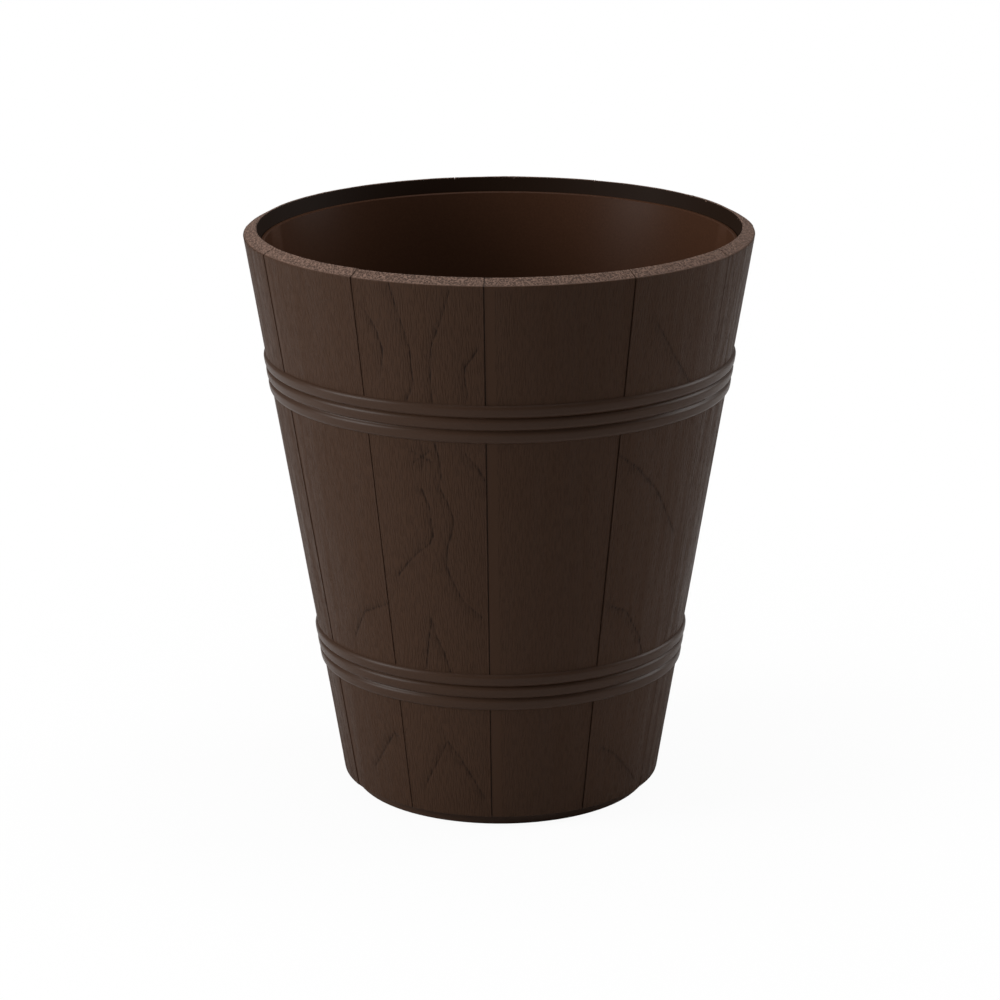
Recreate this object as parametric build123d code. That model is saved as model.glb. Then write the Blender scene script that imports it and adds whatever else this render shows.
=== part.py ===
"""Wood-effect plastic planter: a tapered tub of moulded staves and hoops, with a lift-out liner.

Millimetres, +Z up. The origin is at the centre of the foot ring's underside, and the front is at -Y.
Angles run round the tub from the front, positive towards +X.
"""

from build123d import *
import math
import os

os.makedirs("parts", exist_ok=True)

# Outer form of the tub
LIP_HEIGHT = 343.2  # of the rim's lip, before its edge is bevelled
RIM_RADIUS = 150.0  # outer corner of the staves, under the rim's bevel
BASE_RADIUS = 95.3  # lower end of the staves
BEVEL_DROP = 4.2  # the rim slopes down outwards by this much
SHELL_WALL = 8.2  # measured level, from the stave face to the bore
FOOT_HEIGHT = 7.0
FOOT_RECESS = 6.4  # the foot ring steps in from the stave ends
FOOT_WALL = 4.5
SHELL_FLOOR = 5.0
LIP_BEVEL = 0.7
RIM_CORNER_BEVEL = 0.5
STAVE_END_BEVEL = 0.9
FOOT_BEVEL = 0.6
FLOOR_CORNER_BEVEL = 5.0

# Staves: the first joint's angle, each stave's width round the tub, and how far its face stands out.
# The last stave takes what is left of the circle.
FIRST_JOINT = -94.6
STAVE_WIDTHS = (31.0, 30.2, 30.1, 33.5, 30.2, 33.3, 30.9, 30.9, 35.7, 37.1)
STAVE_RISES = (0.40, 0.10, 0.25, 0.05, 0.45, 0.20, 0.35, 0.05, 0.30, 0.15, 0.25)
JOINT_WIDTH = 1.2
JOINT_DEPTH = 1.5
RIM_JOINT_DEPTH = 1.0

# Hoops: three rounded beads each
LOWER_HOOP_HEIGHT = 89.5  # middle of the hoop above the ground
UPPER_HOOP_HEIGHT = 257.3
HOOP_WIDTH = 23.4
HOOP_PROUD = 1.9
HOOP_BEADS = 3
BEAD_GAP = 1.3
BEAD_GAP_DEPTH = 1.3
BEAD_SHOULDER = 0.9
HOOP_ROOT = 2.6  # how deep the hoop's section reaches into the wall

# Underside of the tub
FOOT_NOTCH_ANGLES = (90.0, 180.0, 270.0)  # the front of the foot is unbroken
FOOT_NOTCH_WIDTH = 16.0
FOOT_NOTCH_HEIGHT = 3.2
RIB_COUNT = 8
RIB_THICKNESS = 2.4
RIB_DROP = 4.0
HUB_RADIUS = 12.0

# Drain holes in the tub's floor, and their plugs
DRAIN_COUNT = 4
DRAIN_FIRST_ANGLE = 45.0
DRAIN_CIRCLE = 52.0
DRAIN_RADIUS = 7.0
PLUG_CLEARANCE = 0.3
PLUG_FLANGE_RADIUS = 11.0
PLUG_FLANGE = 2.4
PLUG_STEM_BELOW_FLOOR = 4.0
PLUG_TIP_TAPER = 1.0
PLUG_TAB_WIDTH = 13.0
PLUG_TAB_HEIGHT = 9.0
PLUG_TAB_THICKNESS = 3.0
PLUG_TAB_HOLE_RADIUS = 2.6

# Liner
LINER_GAP = 0.3
LINER_WALL = 2.4
LINER_EDGE_DEPTH = 9.5  # its top edge lies this far under the rim
LINER_FLOOR = 3.0
LINER_EDGE_BEVEL = 0.5
LINER_INSIDE_BEVEL = 6.0
LINER_OUTSIDE_BEVEL = 7.0
SUMP_HEIGHT = 26.0  # from the tub's floor to the liner's floor
LINER_FOOT_COUNT = 4
LINER_FOOT_CIRCLE = 60.0
LINER_FOOT_WIDTH = 18.0
LINER_FOOT_WALL = 2.4
INNER_SLOT_COUNT = 4
INNER_SLOT_CIRCLE = 30.0
OUTER_SLOT_COUNT = 12
OUTER_SLOT_CIRCLE = 72.0
LINER_SLOT_LENGTH = 16.0
LINER_SLOT_WIDTH = 3.6

# Lifting lugs inside the liner, with room for fingers under each
LUG_DEPTH = 14.0  # under the liner's top edge
LUG_REACH = 14.0
LUG_WIDTH = 42.0
LUG_THICKNESS = 3.2
LUG_ROUND = 6.0

# Drainage grid
GRID_STAND = 22.0  # height of the grid's underside above the liner's floor
GRID_THICKNESS = 3.0
GRID_CLEARANCE = 1.5
GRID_SKIRT_DROP = 4.0
GRID_SKIRT_WALL = 2.2
GRID_SLOT_WIDTH = 3.6
GRID_RINGS = 3
GRID_SLOTS_PER_RING = 10  # the first ring has this many, the second twice as many, and so on
GRID_HUB_RADIUS = 19.0
GRID_RING_WEB = 6.0
GRIP_WIDTH = 28.0  # an upright fin on the hub, to lift the grid by
GRIP_HEIGHT = 12.0
GRIP_THICKNESS = 3.0
GRID_LEG_RING = 2  # the legs stand in this ring, every fourth one in a slot's place
GRID_LEG_SPACING = 4
GRID_LEG_WIDTH = 12.0
GRID_LEG_WALL = 2.2

# Levels and slopes that follow from the sizes
STAVE_TOP = LIP_HEIGHT - BEVEL_DROP
TAPER = (RIM_RADIUS - BASE_RADIUS) / (STAVE_TOP - FOOT_HEIGHT)
FLOOR_TOP = FOOT_HEIGHT + SHELL_FLOOR
FOOT_RADIUS = BASE_RADIUS - FOOT_RECESS
LINER_TOP = LIP_HEIGHT - LINER_EDGE_DEPTH
LINER_UNDERSIDE = FLOOR_TOP + SUMP_HEIGHT
LINER_FLOOR_TOP = LINER_UNDERSIDE + LINER_FLOOR
GRID_UNDERSIDE = LINER_FLOOR_TOP + GRID_STAND
GRID_TOP = GRID_UNDERSIDE + GRID_THICKNESS


def stave_radius(height):
    """Radius of the staves' faces, which lean outwards going up."""
    return BASE_RADIUS + (height - FOOT_HEIGHT) * TAPER


def bore_radius(height):
    """Radius of the tub's bore."""
    return stave_radius(height) - SHELL_WALL



def liner_radius(height):
    """Outer radius of the liner, which follows the bore."""
    return bore_radius(height) - LINER_GAP


def liner_bore(height):
    """Inner radius of the liner."""
    return liner_radius(height) - LINER_WALL


def section(points, bevels=()):
    """A closed outline of (radius, height) points on the XZ plane, with some corners bevelled."""
    face = make_face(Polyline(*points, close=True))
    for corner, length in bevels:
        nearest = face.vertices().sort_by_distance((corner[0], corner[1], 0))[0]
        face = chamfer(nearest, length)
    return Plane.XZ * face


def turned(points, bevels=()):
    """A full turn of an outline."""
    return revolve(section(points, bevels), axis=Axis.Z)


def at_angle(shape, angle):
    """Turns a shape that was made on the +X side to an angle from the front."""
    return Rotation(0, 0, angle - 90) * shape


def ring_angles(count, first=0.0):
    """Evenly spaced angles round the tub."""
    return [first + 360 * number / count for number in range(count)]


def joint_angles():
    """The angle of each stave joint, and of the first again at the end."""
    angles = [FIRST_JOINT]
    for width in STAVE_WIDTHS:
        angles.append(angles[-1] + width)
    angles.append(FIRST_JOINT + 360)
    return angles


def stave(start, end, rise):
    """One stave with its length of the bevelled rim: a sector of the tub's wall."""
    rim_corner = (RIM_RADIUS + rise, STAVE_TOP)
    end_corner = (BASE_RADIUS + rise, FOOT_HEIGHT)
    lip_corner = (bore_radius(LIP_HEIGHT), LIP_HEIGHT)
    outline = [
        (bore_radius(FOOT_HEIGHT), FOOT_HEIGHT),
        end_corner,
        rim_corner,
        lip_corner,
    ]
    bevels = [
        (end_corner, STAVE_END_BEVEL),
        (rim_corner, RIM_CORNER_BEVEL),
        (lip_corner, LIP_BEVEL),
    ]
    sector = revolve(section(outline, bevels), axis=Axis.Z, revolution_arc=end - start)
    return at_angle(sector, start)

def joint_cutter(angle):
    """The groove between two staves: up the wall, then over the bevel to the bore."""
    slope = math.atan(TAPER)
    inset = JOINT_DEPTH / math.cos(slope)
    outside = RIM_RADIUS + 4 * JOINT_DEPTH
    lip = bore_radius(LIP_HEIGHT)
    below = FOOT_HEIGHT - JOINT_DEPTH
    outline = [
        (stave_radius(below) - inset, below),
        (RIM_RADIUS - inset, STAVE_TOP - RIM_JOINT_DEPTH),
        (lip - RIM_JOINT_DEPTH, LIP_HEIGHT - RIM_JOINT_DEPTH),
        (lip - RIM_JOINT_DEPTH, LIP_HEIGHT + JOINT_DEPTH),
        (outside, LIP_HEIGHT + JOINT_DEPTH),
        (outside, below),
    ]
    return at_angle(extrude(section(outline), amount=JOINT_WIDTH / 2, both=True), angle)


def hoop(middle):
    """A hoop of flat beads with bevelled shoulders round the leaning wall, rooted in it."""
    slope = math.atan(TAPER)
    bead = (HOOP_WIDTH - (HOOP_BEADS - 1) * BEAD_GAP) / HOOP_BEADS

    def on_wall(along, out):
        return (
            stave_radius(middle) + along * math.sin(slope) + out * math.cos(slope),
            middle + along * math.cos(slope) - out * math.sin(slope),
        )

    outline = [on_wall(-HOOP_WIDTH / 2, -HOOP_ROOT)]
    shoulders = []
    for number in range(HOOP_BEADS):
        low = -HOOP_WIDTH / 2 + number * (bead + BEAD_GAP)
        shoulders.append(on_wall(low, HOOP_PROUD))
        shoulders.append(on_wall(low + bead, HOOP_PROUD))
        outline += shoulders[-2:]
        if number < HOOP_BEADS - 1:
            outline.append(on_wall(low + bead + BEAD_GAP / 2, HOOP_PROUD - BEAD_GAP_DEPTH))
    outline.append(on_wall(HOOP_WIDTH / 2, -HOOP_ROOT))
    return turned(outline, [(shoulder, BEAD_SHOULDER) for shoulder in shoulders])


def tub_base():
    """The tub's floor and its foot ring, with the sloping corner that joins them to the wall's bore."""
    foot_bore = FOOT_RADIUS - FOOT_WALL
    wall_root = bore_radius(FOOT_HEIGHT)
    inside_corner = (bore_radius(FLOOR_TOP), FLOOR_TOP)
    corner_top = FLOOR_TOP + 2 * FLOOR_CORNER_BEVEL
    outer = (wall_root + SHELL_WALL / 2, FOOT_HEIGHT)
    outline = [
        (0, FOOT_HEIGHT),
        (foot_bore, FOOT_HEIGHT),
        (foot_bore, 0),
        (FOOT_RADIUS, 0),
        (FOOT_RADIUS, FOOT_HEIGHT),
        outer,
        (bore_radius(corner_top) + SHELL_WALL / 2, corner_top),
        (bore_radius(corner_top), corner_top),
        inside_corner,
        (0, FLOOR_TOP),
    ]
    bevels = [
        (inside_corner, FLOOR_CORNER_BEVEL),
        ((foot_bore, 0), FOOT_BEVEL),
        ((FOOT_RADIUS, 0), FOOT_BEVEL),
    ]
    return turned(outline, bevels)

def floor_rib(angle):
    """A stiffening rib under the floor, from the hub to the foot ring."""
    inner = HUB_RADIUS / 2
    outer = FOOT_RADIUS - FOOT_WALL / 2
    rib = Box(
        outer - inner,
        RIB_THICKNESS,
        RIB_DROP,
        align=(Align.MIN, Align.CENTER, Align.MAX),
    )
    return at_angle(Pos(inner, 0, FOOT_HEIGHT) * rib, angle)


def cross_leg(width, wall, low, high):
    """An upright leg of two crossed plates."""
    return Pos(0, 0, low) * extrude(Rectangle(width, wall) + Rectangle(wall, width), high - low)


def drain_hole(angle):
    """A cylinder to cut a drain hole with, standing through the tub's floor."""
    pin = Cylinder(DRAIN_RADIUS, FLOOR_TOP + SHELL_FLOOR, align=(Align.CENTER, Align.CENTER, Align.MIN))
    return at_angle(Pos(DRAIN_CIRCLE, 0, 0) * pin, angle)


def drain_angles():
    """Where the tub's drain holes and plugs are."""
    return ring_angles(DRAIN_COUNT, DRAIN_FIRST_ANGLE)


def stave_shell():
    """The outer tub: staves, hoops, rim, floor and foot ring as one moulding."""
    angles = joint_angles()
    sectors = [
        stave(start, end, rise)
        for start, end, rise in zip(angles[:-1], angles[1:], STAVE_RISES)
    ]
    tub = tub_base().fuse(*sectors)
    tub = tub - [joint_cutter(angle) for angle in angles[:-1]]
    tub = tub + [hoop(LOWER_HOOP_HEIGHT), hoop(UPPER_HOOP_HEIGHT)]

    half_spacing = 180 / RIB_COUNT
    ribs = [floor_rib(angle) for angle in ring_angles(RIB_COUNT, half_spacing)]
    hub = Cylinder(HUB_RADIUS, RIB_DROP, align=(Align.CENTER, Align.CENTER, Align.MAX))
    tub = tub + ribs + [Pos(0, 0, FOOT_HEIGHT) * hub]
    holes = [drain_hole(angle) for angle in drain_angles()]
    notch = Box(
        FOOT_WALL + 2 * FOOT_BEVEL,
        FOOT_NOTCH_WIDTH,
        FOOT_NOTCH_HEIGHT,
        align=(Align.MAX, Align.CENTER, Align.MIN),
    )
    notches = [
        at_angle(Pos(FOOT_RADIUS + FOOT_BEVEL, 0, 0) * notch, angle) for angle in FOOT_NOTCH_ANGLES
    ]
    return tub - holes - notches


def lifting_lug(side, envelope):
    """A lug inside the liner's wall with a web under each end, trimmed by the liner's envelope."""
    top = LINER_TOP - LUG_DEPTH
    wall = liner_bore(top)
    span = LUG_REACH + LINER_WALL
    plan = Pos(wall - LUG_REACH + span / 2, 0) * Rectangle(span, LUG_WIDTH)
    inner_corners = plan.vertices().sort_by(Axis.X)[:2]
    plate = Pos(0, 0, top - LUG_THICKNESS) * extrude(fillet(inner_corners, LUG_ROUND), LUG_THICKNESS)
    web_outline = [
        (wall - LUG_REACH / 2, top - LUG_THICKNESS / 2),
        (wall + LINER_WALL, top - LUG_THICKNESS / 2),
        (wall + LINER_WALL, top - LUG_THICKNESS - LUG_REACH),
        (liner_bore(top - LUG_THICKNESS - LUG_REACH), top - LUG_THICKNESS - LUG_REACH),
    ]
    web = extrude(section(web_outline), amount=LINER_WALL / 2, both=True)
    offset = LUG_WIDTH / 2 - LINER_WALL / 2
    lug = plate + [Pos(0, offset, 0) * web, Pos(0, -offset, 0) * web]
    return at_angle(lug, side) & envelope


def inner_liner():
    """The smooth pot that lifts out of the tub, on crossed feet, with drain slots and two lugs."""
    outside_corner = (liner_radius(LINER_UNDERSIDE), LINER_UNDERSIDE)
    inside_corner = (liner_bore(LINER_FLOOR_TOP), LINER_FLOOR_TOP)
    outer_edge = (liner_radius(LINER_TOP), LINER_TOP)
    inner_edge = (liner_bore(LINER_TOP), LINER_TOP)
    pot = turned(
        [(0, LINER_UNDERSIDE), outside_corner, outer_edge, inner_edge, inside_corner, (0, LINER_FLOOR_TOP)],
        [
            (outside_corner, LINER_OUTSIDE_BEVEL),
            (inside_corner, LINER_INSIDE_BEVEL),
            (outer_edge, LINER_EDGE_BEVEL),
            (inner_edge, LINER_EDGE_BEVEL),
        ],
    )
    envelope = turned(
        [(0, LINER_UNDERSIDE), outside_corner, outer_edge, (0, LINER_TOP)],
    )
    foot = cross_leg(LINER_FOOT_WIDTH, LINER_FOOT_WALL, FLOOR_TOP, LINER_UNDERSIDE + LINER_FLOOR / 2)
    feet = [
        at_angle(Pos(LINER_FOOT_CIRCLE, 0, 0) * foot, angle) for angle in ring_angles(LINER_FOOT_COUNT)
    ]
    lugs = [lifting_lug(side, envelope) for side in (90, 270)]
    slot = Box(LINER_SLOT_LENGTH, LINER_SLOT_WIDTH, 3 * LINER_FLOOR)
    slots = [
        at_angle(Pos(circle, 0, LINER_UNDERSIDE + LINER_FLOOR / 2) * slot, angle)
        for count, circle in (
            (INNER_SLOT_COUNT, INNER_SLOT_CIRCLE),
            (OUTER_SLOT_COUNT, OUTER_SLOT_CIRCLE),
        )
        for angle in ring_angles(count, 180 / count)
    ]
    return pot - slots + feet + lugs


def grid_ring_width():
    """Length of the grid's slots, which fill three rings between the hub and the turned-down edge."""
    inside_edge = liner_bore(GRID_UNDERSIDE) - GRID_CLEARANCE - GRID_SKIRT_WALL
    return (inside_edge - GRID_HUB_RADIUS - GRID_RINGS * GRID_RING_WEB) / GRID_RINGS


def grid_ring(ring):
    """The radius of a ring of slots and the angles of its places."""
    middle = GRID_HUB_RADIUS + (ring - 0.5) * grid_ring_width() + (ring - 1) * GRID_RING_WEB
    count = GRID_SLOTS_PER_RING * ring
    return middle, ring_angles(count, 180 / count)


def grip_fin():
    """An upright fin with bevelled corners on the grid's hub, to lift the grid by."""
    outline = Rectangle(GRIP_WIDTH, GRIP_HEIGHT + GRID_THICKNESS / 2, align=(Align.CENTER, Align.MIN))
    outline = chamfer(outline.vertices().sort_by(Axis.Y)[-2:], GRIP_HEIGHT / 3)
    fin = extrude(Plane.XZ * outline, GRIP_THICKNESS / 2, both=True)
    return Pos(0, 0, GRID_UNDERSIDE + GRID_THICKNESS / 2) * fin


def drainage_grid():
    """The slotted false floor: a plate with a turned-down edge, radial slots and crossed legs."""
    radius = liner_bore(GRID_UNDERSIDE) - GRID_CLEARANCE
    skirt_bore = radius - GRID_SKIRT_WALL
    skirt_low = GRID_UNDERSIDE - GRID_SKIRT_DROP
    edge = (radius, GRID_TOP)
    plate = turned(
        [
            (0, GRID_UNDERSIDE),
            (skirt_bore, GRID_UNDERSIDE),
            (skirt_bore, skirt_low),
            (radius, skirt_low),
            edge,
            (0, GRID_TOP),
        ],
        [(edge, GRID_THICKNESS / 3)],
    )
    slot = Box(grid_ring_width(), GRID_SLOT_WIDTH, 3 * GRID_THICKNESS)
    leg = cross_leg(GRID_LEG_WIDTH, GRID_LEG_WALL, LINER_FLOOR_TOP, GRID_UNDERSIDE + GRID_THICKNESS / 2)
    slots = []
    legs = []
    for ring in range(1, GRID_RINGS + 1):
        middle, angles = grid_ring(ring)
        for place, angle in enumerate(angles):
            if ring == GRID_LEG_RING and place % GRID_LEG_SPACING == 0:
                legs.append(at_angle(Pos(middle, 0, 0) * leg, angle))
            else:
                slots.append(at_angle(Pos(middle, 0, GRID_UNDERSIDE) * slot, angle))
    return plate - slots + legs + [grip_fin()]


def drain_plug(angle):
    """A rubber plug: a flange on the floor, a stem in the hole and a tab to pull it by."""
    stem_radius = DRAIN_RADIUS - PLUG_CLEARANCE
    stem_low = FOOT_HEIGHT - PLUG_STEM_BELOW_FLOOR
    flange_top = FLOOR_TOP + PLUG_FLANGE
    body = turned(
        [
            (0, stem_low),
            (stem_radius - PLUG_TIP_TAPER, stem_low),
            (stem_radius, stem_low + 2 * PLUG_TIP_TAPER),
            (stem_radius, FLOOR_TOP),
            (PLUG_FLANGE_RADIUS, FLOOR_TOP),
            (PLUG_FLANGE_RADIUS, flange_top),
            (0, flange_top),
        ],
    )
    tab = Rectangle(PLUG_TAB_WIDTH, PLUG_TAB_HEIGHT + PLUG_FLANGE / 2, align=(Align.CENTER, Align.MIN))
    tab = fillet(tab.vertices().sort_by(Axis.Y)[-2:], PLUG_TAB_WIDTH / 3)
    tab -= Pos(0, PLUG_FLANGE / 2 + PLUG_TAB_HEIGHT / 2) * Circle(PLUG_TAB_HOLE_RADIUS)
    tab = extrude(Plane.XZ * tab, PLUG_TAB_THICKNESS / 2, both=True)
    plug = body + Pos(0, 0, FLOOR_TOP + PLUG_FLANGE / 2) * tab
    return at_angle(Pos(DRAIN_CIRCLE, 0, 0) * plug, angle)


export_step(stave_shell(), "parts/stave_shell.step")
export_step(inner_liner(), "parts/inner_liner.step")
export_step(drainage_grid(), "parts/drainage_grid.step")
for number, angle in enumerate(drain_angles(), start=1):
    export_step(drain_plug(angle), f"parts/drain_plug_{number}.step")
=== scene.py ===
"""Wood-effect plastic planter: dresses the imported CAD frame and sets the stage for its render.

The staves carry the moulded wood grain, the hoops are swept round the leaning wall, and the liner,
the drainage grid and the drain plugs are smooth copies of their CAD nodes. Metres, +Z up, front at -Y.
"""

import math
import random

import bmesh
import bpy
import numpy as np
from bpy.props import FloatProperty, FloatVectorProperty, IntProperty, PointerProperty
from mathutils import Matrix, Vector


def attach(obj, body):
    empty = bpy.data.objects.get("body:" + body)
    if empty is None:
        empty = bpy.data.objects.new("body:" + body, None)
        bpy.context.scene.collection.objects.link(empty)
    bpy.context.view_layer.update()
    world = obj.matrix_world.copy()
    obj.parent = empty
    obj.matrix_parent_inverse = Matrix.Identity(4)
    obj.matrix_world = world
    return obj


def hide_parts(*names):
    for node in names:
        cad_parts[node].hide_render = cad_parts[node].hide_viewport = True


bl_info = {
    "name": "Wood-effect planter",
    "version": (1, 0, 0),
    "blender": (4, 5, 0),
    "location": "3D View > Sidebar > Planter",
    "description": "Builds the visible pieces of the planter on its CAD frame",
    "category": "Object",
}

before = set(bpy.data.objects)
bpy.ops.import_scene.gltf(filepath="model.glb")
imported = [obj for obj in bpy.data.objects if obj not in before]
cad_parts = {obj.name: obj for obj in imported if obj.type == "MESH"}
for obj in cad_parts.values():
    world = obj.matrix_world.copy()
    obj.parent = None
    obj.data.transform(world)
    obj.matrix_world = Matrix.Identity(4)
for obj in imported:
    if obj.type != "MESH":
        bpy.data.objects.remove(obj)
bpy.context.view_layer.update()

MM = 0.001

# Sizes of the CAD tub, in millimetres
LIP_HEIGHT = 343.2
RIM_RADIUS = 150.0
BASE_RADIUS = 95.3
STAVE_TOP = 339.0
FOOT_HEIGHT = 7.0
SHELL_WALL = 8.2
TAPER = (RIM_RADIUS - BASE_RADIUS) / (STAVE_TOP - FOOT_HEIGHT)
FIRST_JOINT = -94.6
STAVE_WIDTHS = (31.0, 30.2, 30.1, 33.5, 30.2, 33.3, 30.9, 30.9, 35.7, 37.1, 36.9)
STAVE_RISES = (0.40, 0.10, 0.25, 0.05, 0.45, 0.20, 0.35, 0.05, 0.30, 0.15, 0.25)

# Each hoop's middle height in millimetres and the seed of its unevenness
HOOPS = {"hoop_lower": (89.5, 2.0), "hoop_upper": (257.3, 9.0)}
HOOP_SEGMENTS = 241
HOOP_STEPS = 60
BEAD_POWER = 4.0  # the higher, the flatter a bead's crown
WAVES_AROUND = 5.0
WAVES_ACROSS = 4.0

# The staves that the photograph shows full face have a finer mesh
FACING_STAVES = (1, 2, 3, 4)
FINE_SPACING = (0.5, 1.1)
COARSE_SPACING = (0.8, 2.0)
EDGE_COLUMNS = (0.0, 0.06, 0.15, 0.3, 0.5, 0.9)
BACK_COLUMNS = 9
SLAB_DEPTH = 3.0
SLAB_CLEARANCE = 0.2  # the slab's back stays this far above the foot

# A stave's section, in millimetres: what it laps over, its rounded corners and the spacing of its rows
END_LAP = 2.2
END_DROP = 0.1
BORE_LAP = 1.8
BORE_PROUD = 0.05
END_ROUND = 1.0
RIM_ROUND = 0.9
LIP_ROUND = 0.8
ARC_STEPS = 5
END_SPACING = 0.6
RIM_SPACING = 0.7

# Where the rim's finish, the relief and the finish of the bore start and fade, in millimetres
RIM_START = 0.1
RIM_FADE = 0.5
EDGE_FADE = 0.9
LAP_START = 1.0
FOOT_START = 0.5
WALL_START = 0.2
BORE_MARGIN = 1.0

# Growth rings that the photograph shows, as lines of (right of the stave's middle, height) in millimetres
DRAWN_RINGS = {
    1: (
        ((-0.8, 113), (11, 131), (30, 140)),
        ((0, 29), (20, 55), (23.5, 52)),
    ),
    2: (
        ((-15, 338), (-5, 300), (-4.5, 279.5), (-8.5, 270.5)),
        ((20, 336), (14, 318), (7.7, 303), (5.6, 279.5), (6.7, 269.5)),
        ((-31, 320), (-25, 310), (-22, 299), (-22.7, 289.6)),
        ((34, 302), (26, 291), (26, 281), (26.6, 272)),
        ((-2, 243), (-2, 230)),
        ((-8, 239), (4, 233)),
        ((-7, 232), (3, 240)),
        ((6.2, 244), (8.3, 235.5), (8.6, 226), (7, 218.7)),
        (
            (7.7, 216.4),
            (11.5, 207.5),
            (14.3, 199),
            (12.2, 188.8),
            (9.2, 179.5),
            (8.1, 170),
            (11, 159.6),
            (16.3, 147.7),
            (26.7, 137.8),
        ),
        (
            (-3.4, 215.6),
            (0.2, 205.6),
            (0.8, 197),
            (1.4, 187.6),
            (-0.7, 182.6),
            (-8.2, 176.4),
            (-15.3, 169),
            (-22.5, 159.6),
        ),
        ((23.6, 239), (30, 230.6), (35, 220)),
        ((-3, 134.7), (-5.8, 120), (-8.8, 102)),
        ((-3, 134.7), (-0.8, 123.5), (3.4, 113), (6.3, 101)),
        ((1.5, 56), (9, 45), (15.6, 32), (22, 19)),
        ((1.5, 56), (-5.3, 42), (-13.8, 26)),
    ),
    4: (
        ((-34, 233), (-21, 224), (-3, 207), (20.5, 174.5)),
        ((-26, 138.6), (-13.5, 132.8), (-0.6, 114.8), (5.5, 100.6)),
        ((-22, 312), (-5, 290), (14, 268.5)),
        ((-17.6, 46), (-6.3, 38.6), (7.9, 25), (16, 16)),
    ),
}
RINGLESS_STAVES = (3,)  # only straight streaks show on this one
RING_HALF_WIDTH = 0.55
RING_FEATHER = 3.0
FEATHER_SHARE = 0.4

# Arches of growth rings on the other staves, in millimetres: limits that chance draws between, and their look
ARCH_HEART = 9
ARCH_STEEPNESS = (0.12, 0.26)
ARCH_SPACING = (50, 90)
ARCH_SWAY = 4
ARCH_SWAY_LENGTH = (45, 80)
ARCH_FADE = 0.06
ARCH_STRENGTH = 0.6
CHANCE_SEED = 100

# Grain coordinates are (across, along, layer) in metres: each stave has a layer, and so noise, of its own
LAYER_STEP = 0.1
LAYER_SIZE = 0.01
SEED_STEP = 3.7

# Sizes of what the materials and the relief draw, in millimetres
STREAK_SIZE = (0.75, 7.0)
BAND_SIZE = (6.0, 90.0)
GRIT_SIZE = 1.1
FLOW_SIZE = (30, 30, 50)
SINK_STRETCH = 2.5  # how many times as long as wide the hollows are

# The grain's look: how strongly its parts darken or lighten it, and its finish
PORE_TONE = 0.36
RIM_TONE = 0.9
SPECKLE_TONE = 0.68
GRAIN_ROUGHNESS = 0.50
PORE_ROUGHNESS = 0.2
GRAIN_BUMP = 0.28
GRAIN_SPECULAR = 0.065

# The smooth plastics' look
PLASTIC_IOR = 1.49
GRIT_TONE = 0.82
FLOW_GLOSS = 0.04

# How close vertices are merged, in metres
VERTEX_MERGE = 1e-6
ROW_MERGE = 1e-5

# Strips without grain beside the left edge of two staves, as the photograph shows: stave and width
BARE_STRIPS = {1: 4.0, 3: 6.0}

# Camera, fitted to the rim's ellipses in the photograph
CAMERA_PLACE = (0.0, -2.0114, 0.7672)
CAMERA_TILT = 90 - 16.431
CAMERA_ROLL = -0.186
CAMERA_LENS = 125.62
CAMERA_SHIFT = (-0.00024, -0.00108)

# Each softbox: angle from the front and elevation in degrees, distance and size in metres
SOFTBOXES = {"left": (-75, 20, 2.2, 1.0), "right": (108, 20, 2.2, 1.0), "top": (0, 90, 2.0, 1.5)}
LIGHT_AIM = (0, 0, 0.18)

# The floor, in metres: half its side, how far it lies under the foot, and where the shadow fades out
FLOOR_HALF = 20.0
FLOOR_DROP = 0.0002
SHADOW_FADE = (0.22, 0.60)
FLOOR_GREY = 0.8


def stave_radius(height):
    """Radius of the staves' faces, which lean outwards going up, in millimetres."""
    return BASE_RADIUS + (height - FOOT_HEIGHT) * TAPER


def bore_radius(height):
    """Radius of the tub's bore."""
    return stave_radius(height) - SHELL_WALL


def rim_height(radius):
    """Height of the rim's slope at a radius."""
    lip = bore_radius(LIP_HEIGHT)
    return STAVE_TOP + (RIM_RADIUS - radius) * (LIP_HEIGHT - STAVE_TOP) / (RIM_RADIUS - lip)


def linear(colour):
    """A #rrggbb colour as linear RGB."""
    values = []
    for start in (1, 3, 5):
        value = int(colour[start : start + 2], 16) / 255
        values.append(value / 12.92 if value <= 0.04045 else ((value + 0.055) / 1.055) ** 2.4)
    return tuple(values)


def length(name, description, millimetres):
    """A length that the user can set."""
    return FloatProperty(
        name=name, description=description, default=millimetres * MM, min=0, precision=5, unit="LENGTH"
    )


def share(name, description, value):
    """A number from 0 to 1 that the user can set."""
    return FloatProperty(name=name, description=description, default=value, min=0, max=1, subtype="FACTOR")


def colour(name, description, value):
    """A colour that the user can set."""
    return FloatVectorProperty(
        name=name, description=description, default=linear(value), size=3, min=0, max=1, subtype="COLOR"
    )


def power(name, description, watts):
    """A light's power that the user can set."""
    return FloatProperty(name=name, description=description, default=watts, min=0, unit="POWER")


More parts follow.
